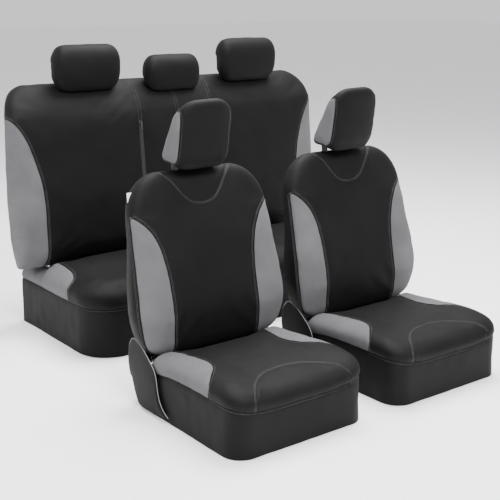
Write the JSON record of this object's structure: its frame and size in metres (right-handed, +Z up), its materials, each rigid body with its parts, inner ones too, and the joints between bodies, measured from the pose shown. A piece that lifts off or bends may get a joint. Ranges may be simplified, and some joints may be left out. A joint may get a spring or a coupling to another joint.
{
  "type": "seat cover set",
  "caption": "Two front bucket seat covers and a rear bench cover with separate headrest covers, black fabric with grey side panels, fitted over plain seat forms.",
  "frame": {"origin": "on the floor, under the middle of the whole set's box", "axes": "+X to the right seen from the front, +Y from the front row to the bench, +Z up"},
  "size_m": [1.4392, 1.476, 1.064],
  "materials": {
    "black_fabric": "matte",
    "grey_fabric": "matte",
    "seat_foam": "matte",
    "plywood": "satin",
    "steel": "polished",
    "black_plastic": "satin",
    "zip_tape": "matte",
    "zip_metal": "satin",
    "elastic": "matte",
    "label": "matte"
  },
  "bodies": {
    "seat_bases": {"left_base_form": "plywood", "left_cushion_foam": "seat_foam", "left_skirt": "black_fabric", "left_seat_cover": "black_fabric", "left_seat_front_panel": "black_fabric", "left_seat_side_panels": "grey_fabric", "right_base_form": "plywood", "right_cushion_foam": "seat_foam", "right_skirt": "black_fabric", "right_seat_cover": "black_fabric", "right_seat_front_panel": "black_fabric", "right_seat_side_panels": "grey_fabric", "bench_base_form": "plywood", "bench_cushion_foam": "seat_foam", "bench_skirt": "black_fabric", "bench_seat_cover": "black_fabric", "bench_corner_panels": "grey_fabric", "rear_flaps": "black_fabric", "base_straps": "elastic", "strap_hooks": "steel", "hinge_brackets": "steel"},
    "left_back": {"left_back_foam": "seat_foam", "left_back_cover": "black_fabric", "left_back_yoke": "black_fabric", "left_back_side_panels": "grey_fabric", "left_back_shell": "black_fabric", "left_post_guides": "black_plastic", "care_tag": "label"},
    "left_headrest": {"left_headrest_foam": "seat_foam", "left_headrest_cover": "black_fabric", "left_headrest_side_panels": "grey_fabric", "left_headrest_posts": "steel"},
    "right_back": {"right_back_foam": "seat_foam", "right_back_cover": "black_fabric", "right_back_yoke": "black_fabric", "right_back_side_panels": "grey_fabric", "right_back_shell": "black_fabric", "right_post_guides": "black_plastic"},
    "right_headrest": {"right_headrest_foam": "seat_foam", "right_headrest_cover": "black_fabric", "right_headrest_side_panels": "grey_fabric", "right_headrest_posts": "steel"},
    "bench_back": {"bench_back_foam": "seat_foam", "bench_back_cover": "black_fabric", "bench_back_side_panels": "grey_fabric", "bench_back_shell": "black_fabric", "bench_post_guides": "black_plastic", "zip_tapes": "zip_tape"},
    "bench_headrest_left": {"bench_headrest_foam_left": "seat_foam", "bench_headrest_cover_left": "black_fabric", "bench_headrest_posts_left": "steel"},
    "zip_slider_left": {"zip_slider_left": "zip_metal"},
    "bench_headrest_middle": {"bench_headrest_foam_middle": "seat_foam", "bench_headrest_cover_middle": "black_fabric", "bench_headrest_posts_middle": "steel"},
    "zip_slider_middle": {"zip_slider_middle": "zip_metal"},
    "bench_headrest_right": {"bench_headrest_foam_right": "seat_foam", "bench_headrest_cover_right": "black_fabric", "bench_headrest_posts_right": "steel"},
    "zip_slider_right": {"zip_slider_right": "zip_metal"}
  },
  "joints": [
    {"name": "left_recline", "type": "hinge", "parent": "seat_bases", "child": "left_back", "pos_m": [-0.4375, -0.251, 0.215], "axis": [1, 0, 0], "range_deg": [-30, 10]},
    {"name": "left_headrest_height", "type": "slide", "parent": "left_back", "child": "left_headrest", "axis": [0, 0.1392, 0.9903], "range_m": [0, 0.06]},
    {"name": "right_recline", "type": "hinge", "parent": "seat_bases", "child": "right_back", "pos_m": [0.1735, -0.251, 0.215], "axis": [1, 0, 0], "range_deg": [-30, 10]},
    {"name": "right_headrest_height", "type": "slide", "parent": "right_back", "child": "right_headrest", "axis": [0, 0.1392, 0.9903], "range_m": [0, 0.06]},
    {"name": "bench_fold", "type": "hinge", "parent": "seat_bases", "child": "bench_back", "pos_m": [0, 0.632, 0.33], "axis": [1, 0, 0], "range_deg": [0, 60]},
    {"name": "bench_headrest_left_height", "type": "slide", "parent": "bench_back", "child": "bench_headrest_left", "axis": [0, 0.1392, 0.9903], "range_m": [0, 0.05]},
    {"name": "bench_headrest_middle_height", "type": "slide", "parent": "bench_back", "child": "bench_headrest_middle", "axis": [0, 0.1392, 0.9903], "range_m": [0, 0.05]},
    {"name": "bench_headrest_right_height", "type": "slide", "parent": "bench_back", "child": "bench_headrest_right", "axis": [0, 0.1392, 0.9903], "range_m": [0, 0.05]},
    {"name": "zip_left", "type": "slide", "parent": "bench_back", "child": "zip_slider_left", "axis": [0, -0.0841, -0.9965], "range_m": [0, 0.22]},
    {"name": "zip_middle", "type": "slide", "parent": "bench_back", "child": "zip_slider_middle", "axis": [0, -0.0841, -0.9965], "range_m": [0, 0.22]},
    {"name": "zip_right", "type": "slide", "parent": "bench_back", "child": "zip_slider_right", "axis": [0, -0.0841, -0.9965], "range_m": [0, 0.22]}
  ]
}
